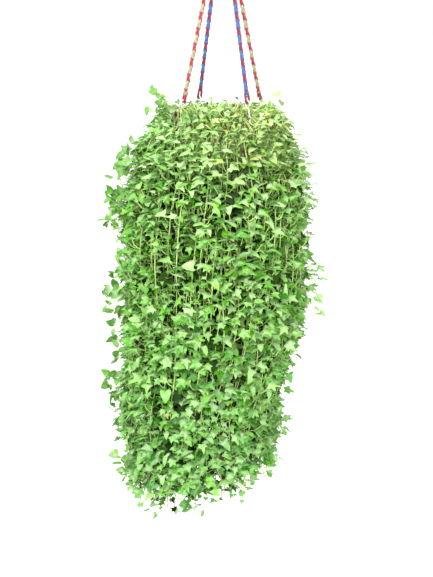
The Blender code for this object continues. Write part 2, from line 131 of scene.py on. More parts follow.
class Nodes:
    """A node tree, with short calls to add and join nodes."""

    def __init__(self, owner, output="OutputMaterial"):
        owner.use_nodes = True
        self.owner = owner
        self.tree = owner.node_tree
        self.tree.nodes.clear()
        self.output = self.add(output)

    def add(self, kind, settings=None, **inputs):
        """A node of this kind; each input is a value or another node's output."""
        node = self.tree.nodes.new("ShaderNode" + kind)
        for key, value in (settings or {}).items():
            setattr(node, key, value)
        for key, value in inputs.items():
            self.put(node, key.replace("_", " "), value)
        return node

    def put(self, node, socket, value):
        target = node.inputs[socket]
        if isinstance(value, bpy.types.NodeSocket):
            self.tree.links.new(value, target)
        else:
            target.default_value = value

    def math(self, operation, first, second=0.0):
        node = self.add("Math", {"operation": operation})
        self.put(node, 0, first)
        self.put(node, 1, second)
        return node.outputs[0]

    def plus(self, first, second):
        return self.math("ADD", first, second)

    def minus(self, first, second):
        return self.math("SUBTRACT", first, second)

    def times(self, first, second):
        return self.math("MULTIPLY", first, second)

    def mix(self, factor, first, second):
        """Two colours mixed; each is an output or a linear colour."""
        node = self.add("Mix", {"data_type": "RGBA"})
        for index, value in ((0, factor), (6, first), (7, second)):
            self.put(node, index, (*value, 1.0) if isinstance(value, np.ndarray) else value)
        return node.outputs[2]

    def noise(self, scale, detail=3.0, roughness=0.5):
        place = self.add("TexCoord").outputs["Object"]
        noise = self.add("TexNoise", Vector=place, Scale=scale, Detail=detail, Roughness=roughness)
        return noise.outputs["Fac"]

    def ramp(self, value, low, high):
        """The value's stretch from low to high, as 0 to 1."""
        return self.add("MapRange", Value=value, From_Min=low, From_Max=high).outputs[0]

    def bump(self, height, strength, distance):
        return self.add("Bump", Height=height, Strength=strength, Distance=distance).outputs[0]

    def split(self, vector):
        return self.add("SeparateXYZ", Vector=vector).outputs

    def place(self):
        """The place on the leaf or along the yarn."""
        return self.split(self.add("UVMap", {"uv_map": "place"}).outputs[0])

    def tint(self):
        return self.add("Attribute", {"attribute_name": "tint"}).outputs["Color"]

    def finish(self, shader):
        self.put(self.output, "Surface", shader.outputs[0])
        return self.owner

    def surface(self, **inputs):
        """The finished material, of one principled shader with these inputs."""
        return self.finish(self.add("BsdfPrincipled", **inputs))


def material_nodes(name):
    return Nodes(bpy.data.materials.new(name))


def leaf_material(name, underside):
    """A leaf's face: its own tint, paler veins that fan out from the petiole, a painted whitish sheen
    towards its middle, and light let through.
    """
    n = material_nodes(name)
    tint = n.tint()
    place = n.place()
    along = n.minus(place[0], 0.5)
    across = n.math("ABSOLUTE", n.minus(place[1], 0.5))
    reach = n.math("SQRT", n.plus(n.math("POWER", along, 2.0), n.math("POWER", across, 2.0)))
    angle = n.math("ARCTAN2", across, along)
    veins = None
    for degrees in (0, 50, 108):
        off = n.math("ABSOLUTE", n.minus(angle, math.radians(degrees)))
        line = n.minus(1.0, n.ramp(n.times(off, reach), 0.003, 0.016))
        veins = line if veins is None else n.math("MAXIMUM", veins, line)
    ribs = n.math("SINE", n.times(n.plus(along, n.times(across, -0.9)), 75.0))
    ribs = n.times(n.ramp(ribs, 0.80, 1.0), 0.35)
    lightness = n.ramp(n.add("RGBToBW", Color=tint).outputs[0], 0.10, 0.50)
    veins = n.times(n.math("MAXIMUM", veins, ribs), n.times(lightness, 0.42))
    mottle = n.noise(260.0)
    patch = n.noise(60.0, 2.0)
    colour = n.mix(n.ramp(mottle, 0.35, 0.75), tint, n.mix(0.22, tint, linear(30, 84, 20)))
    colour = n.mix(n.times(n.ramp(patch, 0.50, 0.75), 0.2), colour, linear(150, 204, 60))
    if underside:
        colour = n.mix(0.25, colour, linear(160, 205, 110))
    # Painted sheen: a whitish highlight mixed into lighter leaves towards their middle, in patches.
    painted_sheen = n.times(n.minus(1.0, n.ramp(reach, 0.10, 0.42)), n.ramp(n.noise(75.0, 2.0), 0.40, 0.62))
    colour = n.mix(n.times(painted_sheen, n.times(lightness, 0.62)), colour, linear(222, 240, 214))
    colour = n.mix(veins, colour, linear(214, 236, 168) if underside else linear(205, 235, 150))
    normal = n.bump(n.minus(n.times(mottle, 0.25), veins), 0.55 if underside else 0.4, 0.0006)
    roughness, specular = (0.6, 0.10) if underside else (0.34, 0.25)
    gloss = n.add("BsdfPrincipled", Base_Color=colour, Roughness=roughness, Normal=normal)
    n.put(gloss, "Specular IOR Level", specular)
    glow = n.add("BsdfTranslucent", Color=n.mix(0.4, colour, linear(130, 200, 40)), Normal=normal)
    both = n.add("MixShader", Fac=0.24)
    n.put(both, 1, gloss.outputs[0])
    n.put(both, 2, glow.outputs[0])
    return n.finish(both)


def shaded_leaf_material():
    """The leaves inside the curtain: a dull copy of the leaf, with painted shade."""
    n = material_nodes("leaf_shaded")
    tint = n.tint()
    mottle = n.noise(180.0)
    # Painted shade: the tint goes half way to a near-black green in mottled patches.
    colour = n.mix(n.ramp(mottle, 0.35, 0.75), tint, n.mix(0.5, tint, linear(16, 34, 8)))
    normal = n.bump(mottle, 0.4, 0.0006)
    return n.surface(Base_Color=colour, Roughness=0.85, Normal=normal, Specular_IOR_Level=0.08)


def stem_material():
    """Stems and petioles: pale yellow-green, redder and browner where they are old and dry."""
    n = material_nodes("vine_stem")
    tint = n.tint()
    streak = n.noise(420.0)
    colour = n.mix(n.ramp(streak, 0.45, 0.8), tint, n.mix(0.35, tint, linear(120, 96, 48)))
    return n.surface(Base_Color=colour, Roughness=0.5, Normal=n.bump(streak, 0.3, 0.0004))


def plastic_material():
    """Moulded white plastic, satin, with a little dust and water staining towards the foot."""
    n = material_nodes("white_plastic")
    height = n.split(n.add("TexCoord").outputs["Object"])[2]
    stain = n.times(n.ramp(n.noise(28.0, 5.0, 0.6), 0.5, 0.75), n.ramp(height, LIP_Z, POT_BASE_Z))
    colour = n.mix(n.times(stain, 0.35), linear(232, 231, 226), linear(176, 164, 140))
    rough = n.plus(0.34, n.times(n.noise(35.0, 4.0), 0.18))
    return n.surface(Base_Color=colour, Roughness=rough, Normal=n.bump(n.noise(900.0, 2.0), 0.12, 0.0003))


def soil_material():
    """Moist bark and peat, from nearly black to red-brown."""
    n = material_nodes("potting_soil")
    fine = n.noise(420.0, 4.0)
    colour = n.mix(n.ramp(n.noise(70.0, 6.0, 0.7), 0.35, 0.7), linear(38, 27, 19), linear(92, 64, 42))
    colour = n.mix(n.ramp(fine, 0.55, 0.8), colour, linear(120, 90, 62))
    return n.surface(Base_Color=colour, Roughness=0.92, Normal=n.bump(fine, 0.8, 0.0015))


def perlite_material():
    n = material_nodes("perlite")
    grain = n.noise(600.0)
    colour = n.mix(grain, linear(222, 219, 210), linear(246, 244, 238))
    return n.surface(Base_Color=colour, Roughness=0.85, Normal=n.bump(grain, 0.5, 0.0006))


def steel_material():
    """Zinc-plated wire: bright, faintly mottled, with fine drawn scratches."""
    n = material_nodes("galvanised_steel")
    spangle = n.noise(240.0)
    colour = n.mix(spangle, linear(168, 170, 172), linear(204, 206, 206))
    rough = n.plus(0.24, n.times(spangle, 0.2))
    normal = n.bump(n.noise(1500.0, 2.0), 0.12, 0.0002)
    return n.surface(Base_Color=colour, Roughness=rough, Metallic=1.0, Normal=normal)


def coated_wire_material():
    """Glossy white coating, slightly yellowed in patches."""
    n = material_nodes("white_wire")
    patch = n.noise(90.0)
    colour = n.mix(n.ramp(patch, 0.5, 0.8), linear(228, 228, 226), linear(206, 202, 190))
    rough = n.plus(0.16, n.times(patch, 0.14))
    normal = n.bump(n.noise(500.0, 2.0), 0.08, 0.0003)
    return n.surface(Base_Color=colour, Roughness=rough, Coat_Weight=0.4, Normal=normal)


def cord_material(name, body, worn):
    """One colour of braided yarn: fine twisted fibres with painted shade in the grooves between them, and
    dusty worn tops.
    """
    n = material_nodes(name)
    place = n.place()
    fibre = n.plus(n.times(place[0], 900.0), n.times(place[1], 44.0))
    twist = n.plus(n.times(n.math("SINE", fibre), 0.5), 0.5)
    fuzz = n.noise(1400.0)
    # Painted shade: darker in the grooves between the twisted fibres.
    painted_shade = n.mix(n.times(n.minus(1.0, twist), 0.45), body, body * 0.3)
    colour = n.mix(n.times(n.ramp(fuzz, 0.45, 0.8), 0.5), painted_shade, worn)
    normal = n.bump(n.plus(twist, n.times(fuzz, 0.5)), 0.8, 0.0006)
    sheen = {"Sheen_Weight": 0.25, "Sheen_Roughness": 0.4}
    return n.surface(Base_Color=colour, Roughness=0.78, Normal=normal, **sheen)


# ---- meshes from arrays


class Heap:
    """Vertices and faces gathered from many small shapes, which become one mesh."""

    def __init__(self):
        self.points, self.tints, self.places = [], [], []
        self.loops, self.sizes, self.slots = [], [], []
        self.count = 0

    def add(self, points, faces, slot, tints, places):
        """faces is a list of (array of vertex numbers, one face a row; material slot), with slot added."""
        for rows, own in faces:
            self.loops.append((rows + self.count).ravel())
            self.sizes.append(np.full(len(rows), rows.shape[1]))
            self.slots.append(np.full(len(rows), own + slot))
        self.points.append(points)
        self.tints.append(np.broadcast_to(tints, (len(points), 3)))
        self.places.append(places)
        self.count += len(points)

    def mesh(self, name, materials, sharp_degrees):
        """The mesh, with its tint and its own coordinates on the leaf or along the yarn."""
        points = np.concatenate(self.points).astype(np.float32)
        loops = np.concatenate(self.loops).astype(np.int32)
        sizes = np.concatenate(self.sizes).astype(np.int32)
        mesh = bpy.data.meshes.new(name)
        mesh.vertices.add(len(points))
        mesh.vertices.foreach_set("co", points.ravel())
        mesh.loops.add(len(loops))
        mesh.loops.foreach_set("vertex_index", loops)
        mesh.polygons.add(len(sizes))
        starts = np.concatenate([[0], np.cumsum(sizes)[:-1]]).astype(np.int32)
        mesh.polygons.foreach_set("loop_start", starts)
        mesh.polygons.foreach_set("material_index", np.concatenate(self.slots).astype(np.int32))
        mesh.update(calc_edges=True)
        tint = mesh.color_attributes.new("tint", "FLOAT_COLOR", "POINT")
        colours = np.ones((len(points), 4), np.float32)
        colours[:, :3] = np.concatenate(self.tints)
        tint.data.foreach_set("color", colours.ravel())
        places = np.concatenate(self.places).astype(np.float32)
        mesh.uv_layers.new(name="place").data.foreach_set("uv", places[loops].ravel())
        for material in materials:
            mesh.materials.append(material)
        mesh.shade_smooth()
        if sharp_degrees:
            mesh.set_sharp_from_angle(angle=math.radians(sharp_degrees))
        return mesh


def piece(name, heap, materials, node, sharp_degrees=None):
    """A piece of the object that rides with it and stands for this node of the frame, which it hides."""
    made = add_object(name, heap.mesh(name, materials, sharp_degrees))
    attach(made, "root")
    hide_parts(node)
    return made


def run_along(points):
    """The length from a line's start to each of its points."""
    return np.concatenate([[0], np.cumsum(np.linalg.norm(np.diff(points, axis=0), axis=1))])


def points_at(line, run, wanted):
    """The places on a line at these lengths along it."""
    return np.stack([np.interp(wanted, run, line[:, i]) for i in range(3)], -1)


def full_turn(steps):
    """This many angles, evenly round a circle."""
    return np.arange(steps) * 2 * np.pi / steps


def closed_grid(rows, columns):
    """The faces of a grid of vertices that closes on itself both ways."""
    here = np.arange(rows * columns).reshape(rows, columns)
    after = np.roll(here, -1, 0)
    return np.stack([here, after, np.roll(after, -1, 1), np.roll(here, -1, 1)], -1).reshape(-1, 4)


def frames_along(points):
    """(first, second) unit vectors across a line at each point, turning as little as they can."""
    ahead = unit(np.gradient(points, axis=0))
    start = np.cross(ahead[0], UP)
    if np.linalg.norm(start) < 0.1:
        start = np.cross(ahead[0], [1.0, 0.0, 0.0])
    first = [unit(start)]
    for direction in ahead[1:]:
        carried = first[-1] - direction * np.dot(first[-1], direction)
        first.append(unit(carried))
    first = np.array(first)
    return first, np.cross(ahead, first)


def tube(points, radii, sides):
    """(vertices, faces, places) of a closed tube; radii has one a point, or one a point and side."""
    first, second = frames_along(points)
    radii = np.asarray(radii, float)
    if radii.ndim < 2:
        radii = np.broadcast_to(np.reshape(radii, (-1, 1)), (len(points), sides))
    ring = around(full_turn(sides), first[:, None], second[:, None])
    skin = (points[:, None] + ring * radii[:, :, None]).reshape(-1, 3)
    vertices = np.vstack([skin, points[:1], points[-1:]])
    here = np.arange(len(skin)).reshape(-1, sides)
    after = np.roll(here, -1, 1)
    walls = np.stack([here[:-1], after[:-1], after[1:], here[1:]], -1).reshape(-1, 4)
    near = np.stack([np.full(sides, len(skin)), after[0], here[0]], -1)
    far = np.stack([np.full(sides, len(skin) + 1), here[-1], after[-1]], -1)
    run = run_along(points)
    skin_places = np.stack([np.repeat(run, sides), np.tile(np.arange(sides) / sides, len(points))], -1)
    places = np.vstack([skin_places, [[0, 0], [run[-1], 0]]])
    return vertices, [(walls, 0), (near, 0), (far, 0)], places


def curve_through(points, spacing):
    """A smooth line through these points, resampled at about this spacing."""
    points = np.asarray(points, float)
    ends = np.vstack([2 * points[0] - points[1], points, 2 * points[-1] - points[-2]])
    t = np.linspace(0, 1, 12, endpoint=False)[:, None]
    line = []
    for p0, p1, p2, p3 in zip(ends, ends[1:], ends[2:], ends[3:]):
        bend = 2 * p0 - 5 * p1 + 4 * p2 - p3
        twist = 3 * p1 - p0 - 3 * p2 + p3
        line.append(0.5 * (2 * p1 + (p2 - p0) * t + bend * t**2 + twist * t**3))
    line = np.vstack([*line, points[-1:]])
    run = run_along(line)
    count = max(int(run[-1] / spacing), 4) + 1
    return points_at(line, run, np.linspace(0, run[-1], count))


# ---- ropes and fittings

GAP = 0.0003
PLAIT_PITCH = 0.034
YARN_RADIUS = 0.0023
PLAIT_RADIUS = 0.0021  # from the rope's middle to a yarn's, on average
PLAIT_WEAVE = 0.0007  # how far a yarn moves in and out as it passes under and over
YARN_SIDES = 12
PLY_PITCH = 0.011  # from one ply's lobe to the next, along the yarn
WIRE_RADIUS = 0.0020
# Each yarn's own colour, and that of its worn tops.
YARN_COLOURS = {
    "red": ((160, 18, 46), (226, 120, 130)),
    "olive": ((160, 162, 122), (226, 224, 180)),
    "blue": ((32, 94, 172), (150, 180, 220)),
    "dark_red": ((128, 16, 42), (190, 96, 108)),
}
NO_TINT = np.zeros(3)
# The turns of yarn round the end of a rope, and how far each climbs.
WHIPPINGS = {"back_right": (1.5, 0.004), "front_left": (3.2, 0.0026), "front_right": (2.2, 0.005)}


def rope_line(azimuth):
    """(start, unit direction, outwards, length) of a rope's line, from the binding to the lip's hole."""
    out = outwards(azimuth)
    slope = (HOOK_HOLE_RADIUS - ROPE_TOP_RADIUS) / (BINDING_BOTTOM - LIP_Z)
    start = out * ROPE_TOP_RADIUS + UP * (BINDING_BOTTOM - GAP - ROPE_DIAMETER / 2 * slope)
    along = out * HOOK_HOLE_RADIUS + UP * LIP_Z - start
    length = float(np.linalg.norm(along))
    return start, along / length, out, length


def yarn(heap, points, slot, radius=YARN_RADIUS, plies=3):
    """A twisted yarn along a line: its section has a lobe for each ply, which winds round it."""
    winding = 2 * np.pi * run_along(points)[:, None] / (plies * PLY_PITCH)
    lobes = 1 + 0.09 * np.cos(plies * (full_turn(YARN_SIDES) + winding))
    vertices, faces, places = tube(points, radius * lobes, YARN_SIDES)
    heap.add(vertices, faces, slot, NO_TINT, places)


def plaited_rope(place, colours, turned):
    """Two yarns wind one way and two the other, each passing over one and under the next."""
    start, down, _, length = rope_line(ROPE_PLACES[place])
    body = length - HOOK_LENGTH - HOOK_EYE_RADIUS - ROPE_TO_EYE
    front = unit(down * down[1] - BACK)
    front, side = around((turned, turned + np.pi / 2), front, np.cross(down, front))
    run = np.arange(0, body, 0.0013)
    turn = 2 * np.pi * run / PLAIT_PITCH
    drawn_in = 1 - 0.2 * np.clip((run - body + 0.014) / 0.010, 0, 1)
    heap = Heap()
    for way in (1, -1):
        for half in (0, 1):
            reach = (PLAIT_RADIUS + way * PLAIT_WEAVE * np.cos(2 * turn)) * drawn_in
            steps = around(way * turn + half * np.pi, front, side) * reach[:, None]
            yarn(heap, start + run[:, None] * down + steps, half)
    rope = piece(f"plait_{place}", heap, colours, f"rope_{place}")
    return body


def rope_end(place, body, colours, whipping):
    """The rope's last yarns, looped through its hook's eye, and the turns that whip them together."""
    start, down, out, length = rope_line(ROPE_PLACES[place])
    side = np.cross(UP, out)
    across = np.cross(side, down)
    arc_start = start + down * (length - HOOK_LENGTH - HOOK_EYE_RADIUS)
    tied, loose = start + down * (body - 0.012), start + down * (body - 0.002)
    heap = Heap()
    bend = WIRE_RADIUS + YARN_RADIUS
    for tilt in (-1, 1):
        shift = across * 0.0016 * tilt
        route = [tied + side * 0.0024 * tilt, loose + side * 0.0034 * tilt]
        route += list(arc_start + bend * around(np.linspace(0, np.pi, 9), side * tilt, down) + shift)
        route += [loose - side * 0.0034 * tilt + shift, tied - side * 0.0024 * tilt]
        yarn(heap, curve_through(route, 0.0009), 0, radius=0.0019)
    if whipping:
        turns, rise = whipping
        angle = np.linspace(0, turns * 2 * np.pi, int(30 * turns))
        wound = start + down * (body + 0.002 - rise * (turns - angle / (2 * np.pi)))[:, None]
        yarn(heap, wound + 0.0050 * around(angle, across, side), 1, radius=0.0013)
    piece(f"rope_end_{place}", heap, colours, f"rope_{place}")


def wire_hook(place, material):
    """An eye, a straight shank, and a bend through the lip and under its edge."""
    start, down, out, length = rope_line(ROPE_PLACES[place])
    eye = start + down * (length - HOOK_LENGTH)
    across = unit(out - down * np.dot(out, down))
    route = list(eye + HOOK_EYE_RADIUS * around(np.radians(np.linspace(60, 330, 28)), down, across))
    route += [eye + down * HOOK_EYE_RADIUS * reach for reach in (1.5, 2.6)]
    bend_z = LIP_Z - LIP_THICKNESS - HOOK_DROP + HOOK_BEND_RADIUS
    centre = out * (HOOK_HOLE_RADIUS + HOOK_BEND_RADIUS) + UP * bend_z
    route += list(centre - HOOK_BEND_RADIUS * around(np.linspace(0, np.pi, 14), out, UP))
    route.append(centre + (out + UP * 0.6) * HOOK_BEND_RADIUS)
    line = curve_through(route, 0.0012)
    radii = np.full(len(line), WIRE_RADIUS)
    radii[:2] *= (0.55, 0.9)
    radii[-2:] *= (0.9, 0.55)
    heap = Heap()
    vertices, faces, places = tube(line, radii, 14)
    heap.add(vertices, faces, 0, NO_TINT, places)
    name = f"wire_hook_{place}"
    piece(name + "_wire", heap, [material], name, 60)


def binding(colours):
    """The gathered ropes' whipping: a cord wound turn on turn over their packed ends."""
    heap = Heap()
    angle = np.linspace(0, 7.6 * 2 * np.pi, 420)
    reach = BINDING_RADIUS - YARN_RADIUS
    height = BINDING_TOP - BINDING_BOTTOM - 2 * YARN_RADIUS
    z = BINDING_TOP - YARN_RADIUS - height * angle / angle[-1]
    yarn(heap, around(angle, RIGHT, BACK) * reach + UP * z[:, None], 0)
    for azimuth in ROPE_PLACES.values():
        out = outwards(azimuth)
        low = out * ROPE_TOP_RADIUS + UP * (BINDING_BOTTOM - 0.002)
        high = out * 0.0075 + UP * (BINDING_TOP + 0.001)
        yarn(heap, curve_through([low, (low + high) / 2, high], 0.002), 1, radius=0.0062, plies=4)
    piece("rope_whipping", heap, colours, "rope_binding")


def top_loop(colours):
    """The two-ply cord through the ring, its legs going down into the binding."""
    out = BACK * (RING_WIRE_RADIUS + GAP + 0.0045)
    wire_z = RING_CENTRE_Z - RING_MEAN_RADIUS
    levels = [UP * (BINDING_TOP - 0.003), UP * (BINDING_TOP + wire_z) / 2]
    arc = around(np.linspace(0, np.pi, 11), out, UP * out[1])
    route = [*(level + out for level in levels), *(UP * wire_z + arc)]
    route += [level - out for level in reversed(levels)]
    line = curve_through(route, 0.0012)
    first, second = frames_along(line)
    turn = 2 * np.pi * np.arange(len(line)) * 0.0012 / 0.016
    heap = Heap()
    for ply in (0, 1):
        yarn(heap, line + around(turn + ply * np.pi, first, second) * 0.0021, ply, radius=0.0023)
    piece("ring_cord", heap, colours, "top_loop")


def ring(material):
    """The bent steel ring, with the swelling of its butt weld at one side."""
    steps, sides = 96, 20
    angle = full_turn(steps)
    weld = 1 + 0.14 * np.exp(-((angle - np.radians(140)) / 0.07) ** 2)
    out = around(angle, RIGHT, UP)[:, None]
    section = around(full_turn(sides), out, BACK)
    middles = UP * RING_CENTRE_Z + out * RING_MEAN_RADIUS
    vertices = (middles + section * RING_WIRE_RADIUS * weld[:, None, None]).reshape(-1, 3)
    heap = Heap()
    heap.add(vertices, [(closed_grid(steps, sides)[:, ::-1], 0)], 0, NO_TINT, vertices[:, :2])
    piece("steel_ring", heap, [material], "hanging_ring")


def make_fittings():
    cords = {}
    for name, (own, worn) in YARN_COLOURS.items():
        cords[name] = cord_material(f"cord_{name}", linear(*own), linear(*worn))
    red_and_olive, red_and_blue = [cords["red"], cords["olive"]], [cords["dark_red"], cords["blue"]]
    wire = coated_wire_material()
    for place in ROPE_PLACES:
        colours = red_and_olive if place in ("front_left", "back_right") else red_and_blue
        body = plaited_rope(place, colours, math.radians(38 if place == "front_right" else 24))
        rope_end(place, body, colours, WHIPPINGS.get(place))
        wire_hook(place, wire)
    binding(red_and_blue)
    top_loop(red_and_blue)
    ring(steel_material())


# ---- pot and soil


def turned_heap(profile, steps):
    """A closed profile of (radius, z), run anticlockwise, turned about Z."""
    profile = np.asarray(profile, float)
    out = around(full_turn(steps), RIGHT, BACK)
    vertices = (out[:, None] * profile[:, :1] + UP * profile[:, 1:]).reshape(-1, 3)
    heap = Heap()
    heap.add(vertices, [(closed_grid(steps, len(profile)), 0)], 0, NO_TINT, vertices[:, :2])
    return heap


def make_pot(material):
    """The moulded pot: a lip with a hole for each hook, a tapering ringed wall, a foot and drains."""
    mouth, foot = 0.113, 0.082
    wall, foot_width, foot_height = 0.0025, 0.006, 0.004
    lip, low = LIP_RADIUS, LIP_Z - LIP_THICKNESS
    floor_z = POT_BASE_Z + foot_height
    slope = (foot - mouth) / (POT_BASE_Z - low)

    def side(z):
        return mouth + slope * (z - low)

    profile = [(mouth - wall, LIP_Z - 0.001), (mouth - wall + 0.001, LIP_Z)]
    profile += [(lip - 0.0008, LIP_Z), (lip, LIP_Z - 0.0008), (lip, low + 0.0006), (lip - 0.0006, low)]
    profile += [(mouth + 0.001, low), (side(low - 0.001), low - 0.001)]
    for z in np.linspace(low - 0.012, POT_BASE_Z + 0.02, 5):
        for rise, swell in ((0.0016, 0), (0.0005, 0.0007), (-0.0005, 0.0007), (-0.0016, 0)):
            profile.append((side(z + rise) + swell, z + rise))
    profile += [(foot, POT_BASE_Z + 0.001), (foot - 0.001, POT_BASE_Z)]
    profile += [(foot - foot_width + 0.001, POT_BASE_Z), (foot - foot_width, POT_BASE_Z + 0.001)]
    profile += [(foot - foot_width, floor_z), (0.0004, floor_z), (0.0004, floor_z + wall)]
    profile.append((side(floor_z + wall) - wall - 0.003, floor_z + wall))
    profile.append((side(floor_z + 0.006) - wall, floor_z + 0.006))
    pot = piece("pot_moulding", turned_heap(profile[::-1], 144), [material], "pot")
    holes = [(HOOK_HOLE_RADIUS, azimuth, 0.0035, LIP_Z) for azimuth in ROPE_PLACES.values()]
    holes += [(0.050, 60 * i, 0.0045, floor_z) for i in range(6)]
    bm = bmesh.new()
    for reach, azimuth, radius, z in holes:
        place = Matrix.Translation(Vector(outwards(azimuth) * reach + UP * z))
        ends = {"radius1": radius, "radius2": radius, "depth": 0.02}
        bmesh.ops.create_cone(bm, cap_ends=True, segments=28, matrix=place, **ends)
    drill = bpy.data.meshes.new("drill")
    bm.to_mesh(drill)
    bm.free()
    cutter = add_object("drill", drill)
    cut = pot.modifiers.new("holes", "BOOLEAN")
    cut.operation = "DIFFERENCE"
    cut.object = cutter
    with bpy.context.temp_override(object=pot, active_object=pot, selected_objects=[pot]):
        bpy.ops.object.modifier_apply(modifier="holes")
    bpy.data.objects.remove(cutter)
    pot.data.shade_smooth()
    pot.data.set_sharp_from_angle(angle=math.radians(32))


def lump(chance):
    """An uneven pebble about the origin, about 1 across: (vertices, faces)."""
    bm = bmesh.new()
    bmesh.ops.create_icosphere(bm, subdivisions=1, radius=0.5)
    vertices = np.array([v.co[:] for v in bm.verts])
    faces = np.array([[v.index for v in f.verts] for f in bm.faces])
    bm.free()
    return vertices * chance.uniform(0.7, 1.2, (len(vertices), 1)) * chance.uniform(0.6, 1.2, 3), faces


def make_soil(materials):
    """Compost with an uneven top, crumbs of bark and grains of white perlite."""
    chance = np.random.default_rng(5)
    steps, rings = 96, 26
    bottom = float(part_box("soil")[0][2])
    edge_z = LIP_Z - 0.025

    def level(reach):
        """The height of the domed top this far from the axis."""
        return edge_z + (SOIL_TOP_Z - edge_z) * (1 - (reach / SOIL_RADIUS) ** 2) - 0.002

    tops = [SOIL_RADIUS * i / rings + 0.0004 for i in range(rings + 1)]
    profile = [(reach, level(reach)) for reach in tops]
    profile += [(SOIL_RADIUS - 0.012, edge_z - 0.06), (0.081, bottom), (0.0004, bottom)]
    count = len(profile)
    first_top = count - len(tops)
    heap = turned_heap(profile[::-1], steps)
    points = heap.points[0].reshape(steps, count, 3)
    rough = chance.normal(0, 0.0009, (steps, count))
    rough = rough + 0.6 * np.roll(rough, 1, 0) + 0.6 * np.roll(rough, 1, 1)
    points[..., 2] += np.where(np.arange(count) > first_top, np.clip(rough, -0.002, 0.0018), 0)
    for i in range(420):
        reach, azimuth = SOIL_RADIUS * 0.95 * math.sqrt(chance.random()), chance.uniform(0, 360)
        vertices, faces = lump(chance)
        white = i % 5 == 0
        size = chance.uniform(0.002, 0.004) if white else chance.uniform(0.003, 0.008)
        place = outwards(azimuth) * reach + UP * level(reach)
        heap.add(vertices * size + place, [(faces, 0)], int(white), NO_TINT, vertices[:, :2])
    piece("compost", heap, materials, "soil", 50)


# ---- leaves

# Each kind's outline on one side of its midrib, from the tip round to the notch at the petiole:
# (degrees from the midrib, distance from the petiole as a share of the tip's), tips and notches in turn.
LEAF_KINDS = {
    "ivy": ((0, 1.00), (27, 0.55), (50, 0.80), (80, 0.44), (110, 0.56), (163, 0.20), (180, 0.12)),
    "three_lobed": ((0, 1.00), (31, 0.48), (58, 0.70), (92, 0.40), (128, 0.48), (168, 0.18), (180, 0.12)),
    "arrowhead": ((0, 1.04), (60, 0.38), (116, 0.66), (165, 0.20), (180, 0.10)),
    "oval": ((0, 1.0), (28, 0.66), (60, 0.42), (110, 0.26), (180, 0.10)),
    "heart": ((0, 0.92), (62, 0.50), (128, 0.52), (168, 0.22), (180, 0.14)),
}
TIP_POWER = 1.5  # how sharply a lobe's edge runs out to its tip


def outline(kind):
    """(angles, distances) of a leaf's rim all the way round, in radians, with the tip first."""
    corners = LEAF_KINDS[kind]
    angles, reach = [], []
    for (a0, r0), (a1, r1) in zip(corners, corners[1:]):
        steps = 3 if a1 - a0 > 12 else 1
        for i in range(steps):
            share = i / steps
            to_tip = 1 - share if r0 > r1 else share
            angles.append(a0 + (a1 - a0) * share)
            reach.append(min(r0, r1) + abs(r1 - r0) * to_tip**TIP_POWER)
    angles, reach = np.array(angles), np.array(reach)
    both_angles = np.concatenate([angles, [180.0], 360 - angles[:0:-1]])
    both_reach = np.concatenate([reach, [corners[-1][1]], reach[:0:-1]])
    return np.radians(both_angles), both_reach


def leaf_template(kind):
    """(flat places of the top's vertices, those of the underside, the faces of both), at unit length."""
    angles, reach = outline(kind)
    rim = np.stack([np.cos(angles), np.sin(angles)], -1) * reach[:, None]
    top = np.vstack([[[0.0, 0.0]], rim * 0.5, rim])
    shared = 1 + len(rim)  # from here on, the vertices belong to both sides
    under = top[:shared]
    here = np.arange(len(rim))
    after = np.roll(here, -1)
    fan = np.stack([np.zeros_like(here), 1 + here, 1 + after], -1)
    band = np.stack([1 + here, shared + here, shared + after, 1 + after], -1)

    def flipped(rows):
        return np.where(rows >= shared, rows, rows + len(top))[:, ::-1]

    return top, under, [(fan, 0), (band, 0), (flipped(fan), 1), (flipped(band), 1)]


LEAF_TEMPLATES = {kind: leaf_template(kind) for kind in LEAF_KINDS}
LEAF_THICKNESS = 0.0005
# The foliage's materials: a leaf's face and underside, stems, and the dull copy with painted shade for a
# leaf inside the curtain, face and underside.
BRIGHT_SLOT, STEM_SLOT, DULL_SHADED_SLOT = 0, 2, 3


def add_leaves(heap, kind, leaves, chance):
    """Adds leaves of one kind, each a (base, midrib, face normal, size, tint, curl, droop, slot)."""
    top, under, faces = LEAF_TEMPLATES[kind]
    flat = np.vstack([top, under])
    below = np.concatenate([np.zeros(len(top)), np.ones(len(under))])
    reach = np.linalg.norm(flat, axis=1)
    angle = np.arctan2(flat[:, 1], flat[:, 0])
    for base, midrib, normal, size, tint, curl, droop, slot in leaves:
        across = np.cross(normal, midrib)
        wave = chance.uniform(-1, 1, 3) * (0.05, 0.04, 0.04)
        lift = curl * np.abs(flat[:, 1]) ** 1.4 - droop * reach**2
        waves = wave[0] * np.sin(2 * angle) + wave[1] * np.sin(5 * angle) + wave[2] * np.cos(4 * angle)
        lift = lift + reach**2 * waves
        width = chance.uniform(0.9, 1.1)
        points = flat[:, :1] * midrib + flat[:, 1:] * width * across + lift[:, None] * normal
        points = base + points * size - (below * LEAF_THICKNESS)[:, None] * normal
        # Painted light: the tint is a little lighter towards the leaf's middle, as a highlight, and darker
        # at its rim.
        painted_light = 1 - 0.16 * (reach[:, None] - 0.5)
        heap.add(points, faces, slot, tint * painted_light, flat * 0.45 + 0.5)


# ---- the curtain's shape

